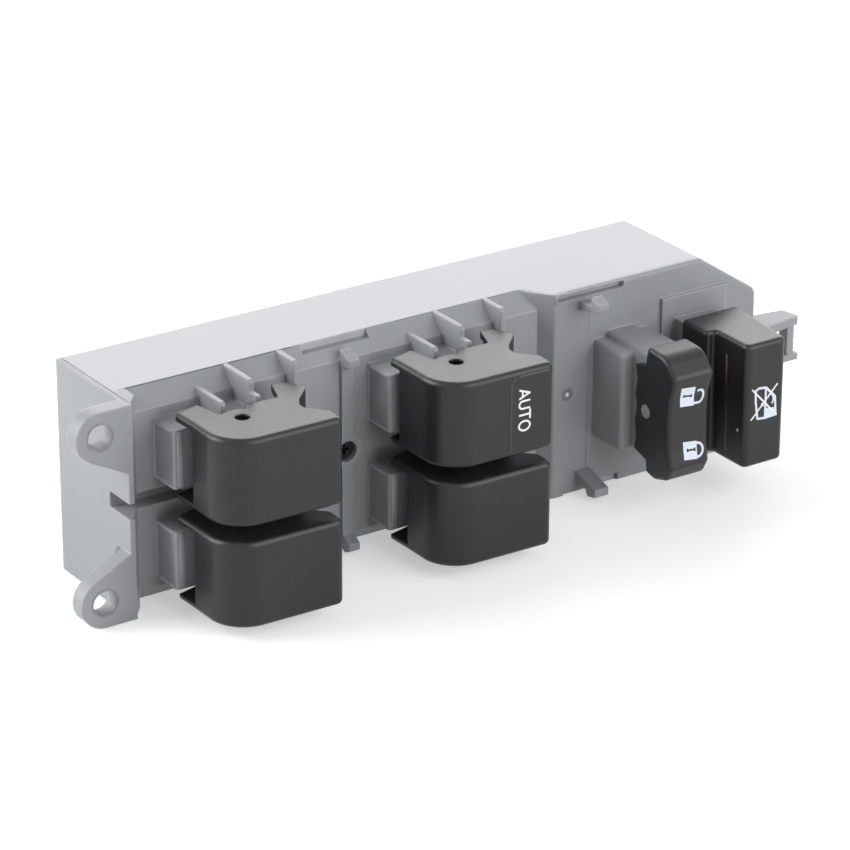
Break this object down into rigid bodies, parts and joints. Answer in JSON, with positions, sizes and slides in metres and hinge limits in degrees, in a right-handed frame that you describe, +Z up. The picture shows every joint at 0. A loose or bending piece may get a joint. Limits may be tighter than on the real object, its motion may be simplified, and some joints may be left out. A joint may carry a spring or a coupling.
{
  "type": "power window switch",
  "caption": "Vehicle door switch: a long two-part case with rocking window knobs, a door lock rocker, a window lock button, screw ears and a connector at the back.",
  "frame": {"origin": "midway between the two ear screw holes, on the ears' front seating face", "axes": "+X along the case from the ears to the fixing loop, +Y from the knobs to the back cover, +Z up the case's 50 mm side"},
  "size_m": [0.1925, 0.0573, 0.05],
  "materials": {
    "case_grey": "fine matt moulding",
    "cover_grey": "fine matt moulding",
    "key_black": "satin black moulding",
    "slider_white": "natural acetal",
    "spring_steel": "drawn spring wire",
    "contact_brass": "rolled sheet",
    "board_green": "lacquered laminate",
    "housing_black": "moulded black",
    "pin_metal": "tinned",
    "screw_steel": "blackened zinc",
    "lamp_amber": "moulded lens"
  },
  "bodies": {
    "case": {"front_case": "case_grey", "rear_cover": "cover_grey", "circuit_board": "board_green", "connector_housing": "housing_black", "connector_pins": "pin_metal", "lockout_switch": "housing_black", "control_chip": "housing_black", "relay_up": "housing_black", "relay_down": "housing_black", "indicator_lamps": "lamp_amber", "case_screw": "screw_steel", "board_screws": "screw_steel", "rear_driver_spring": "spring_steel", "rear_passenger_spring": "spring_steel", "front_driver_spring": "spring_steel", "front_passenger_spring": "spring_steel", "lock_spring": "spring_steel", "lockout_spring": "spring_steel"},
    "rear_driver_knob": {"rear_driver_window_knob": "key_black"},
    "rear_driver_detent": {"rear_driver_plunger": "slider_white"},
    "rear_driver_contacts": {"rear_driver_contact_slider": "slider_white", "rear_driver_contact_plate": "contact_brass"},
    "rear_passenger_knob": {"rear_passenger_window_knob": "key_black"},
    "rear_passenger_detent": {"rear_passenger_plunger": "slider_white"},
    "rear_passenger_contacts": {"rear_passenger_contact_slider": "slider_white", "rear_passenger_contact_plate": "contact_brass"},
    "front_driver_knob": {"front_driver_window_knob": "key_black"},
    "front_driver_detent": {"front_driver_plunger": "slider_white"},
    "front_driver_contacts": {"front_driver_contact_slider": "slider_white", "front_driver_contact_plate": "contact_brass"},
    "front_passenger_knob": {"front_passenger_window_knob": "key_black"},
    "front_passenger_detent": {"front_passenger_plunger": "slider_white"},
    "front_passenger_contacts": {"front_passenger_contact_slider": "slider_white", "front_passenger_contact_plate": "contact_brass"},
    "lock_key": {"lock_rocker": "key_black"},
    "lock_detent": {"lock_plunger": "slider_white"},
    "lock_contacts": {"lock_contact_slider": "slider_white", "lock_contact_plate": "contact_brass"},
    "lockout_key": {"lockout_button": "key_black", "lockout_plunger": "slider_white"}
  },
  "joints": [
    {"name": "rear_driver_rock", "type": "hinge", "parent": "case", "child": "rear_driver_knob", "pos_m": [0.0275, -0.012, 0.0118], "axis": [0, 0, 1], "range_deg": [-7, 7], "stiffness_Nm_per_rad": 0.4},
    {"name": "rear_driver_detent_slide", "type": "slide", "parent": "case", "child": "rear_driver_detent", "axis": [0, 1, 0], "range_m": [-0.0002, 0.0012], "stiffness_N_per_m": 300, "deforming": ["rear_driver_spring"]},
    {"name": "rear_driver_contact_slide", "type": "slide", "parent": "case", "child": "rear_driver_contacts", "axis": [1, 0, 0], "range_m": [-0.0029, 0.0029]},
    {"name": "rear_passenger_rock", "type": "hinge", "parent": "case", "child": "rear_passenger_knob", "pos_m": [0.0275, -0.012, -0.0118], "axis": [0, 0, 1], "range_deg": [-7, 7], "stiffness_Nm_per_rad": 0.4},
    {"name": "rear_passenger_detent_slide", "type": "slide", "parent": "case", "child": "rear_passenger_detent", "axis": [0, 1, 0], "range_m": [-0.0002, 0.0012], "stiffness_N_per_m": 300, "deforming": ["rear_passenger_spring"]},
    {"name": "rear_passenger_contact_slide", "type": "slide", "parent": "case", "child": "rear_passenger_contacts", "axis": [1, 0, 0], "range_m": [-0.0029, 0.0029]},
    {"name": "front_driver_rock", "type": "hinge", "parent": "case", "child": "front_driver_knob", "pos_m": [0.0818, -0.012, 0.0118], "axis": [0, 0, 1], "range_deg": [-7, 7], "stiffness_Nm_per_rad": 0.4},
    {"name": "front_driver_detent_slide", "type": "slide", "parent": "case", "child": "front_driver_detent", "axis": [0, 1, 0], "range_m": [-0.0002, 0.0012], "stiffness_N_per_m": 300, "deforming": ["front_driver_spring"]},
    {"name": "front_driver_contact_slide", "type": "slide", "parent": "case", "child": "front_driver_contacts", "axis": [1, 0, 0], "range_m": [-0.0029, 0.0029]},
    {"name": "front_passenger_rock", "type": "hinge", "parent": "case", "child": "front_passenger_knob", "pos_m": [0.0818, -0.012, -0.0118], "axis": [0, 0, 1], "range_deg": [-7, 7], "stiffness_Nm_per_rad": 0.4},
    {"name": "front_passenger_detent_slide", "type": "slide", "parent": "case", "child": "front_passenger_detent", "axis": [0, 1, 0], "range_m": [-0.0002, 0.0012], "stiffness_N_per_m": 300, "deforming": ["front_passenger_spring"]},
    {"name": "front_passenger_contact_slide", "type": "slide", "parent": "case", "child": "front_passenger_contacts", "axis": [1, 0, 0], "range_m": [-0.0029, 0.0029]},
    {"name": "lock_rock", "type": "hinge", "parent": "case", "child": "lock_key", "pos_m": [0.1359, -0.0163, 0], "axis": [1, 0, 0], "range_deg": [-6, 6], "stiffness_Nm_per_rad": 0.4},
    {"name": "lock_detent_slide", "type": "slide", "parent": "case", "child": "lock_detent", "axis": [0, 1, 0], "range_m": [-0.0002, 0.0012], "stiffness_N_per_m": 300, "deforming": ["lock_spring"]},
    {"name": "lock_contact_slide", "type": "slide", "parent": "case", "child": "lock_contacts", "axis": [0, 0, 1], "range_m": [-0.003, 0.003]},
    {"name": "lockout_press", "type": "slide", "parent": "case", "child": "lockout_key", "axis": [0, 1, 0], "range_m": [0, 0.003], "stiffness_N_per_m": 400, "deforming": ["lockout_spring"]}
  ],
  "couplings": [
    {"joint": "rear_driver_contact_slide", "follows": "rear_driver_rock", "m_per_rad": -0.02095},
    {"joint": "rear_passenger_contact_slide", "follows": "rear_passenger_rock", "m_per_rad": -0.02095},
    {"joint": "front_driver_contact_slide", "follows": "front_driver_rock", "m_per_rad": -0.02095},
    {"joint": "front_passenger_contact_slide", "follows": "front_passenger_rock", "m_per_rad": -0.02095},
    {"joint": "lock_contact_slide", "follows": "lock_rock", "m_per_rad": 0.0252}
  ]
}
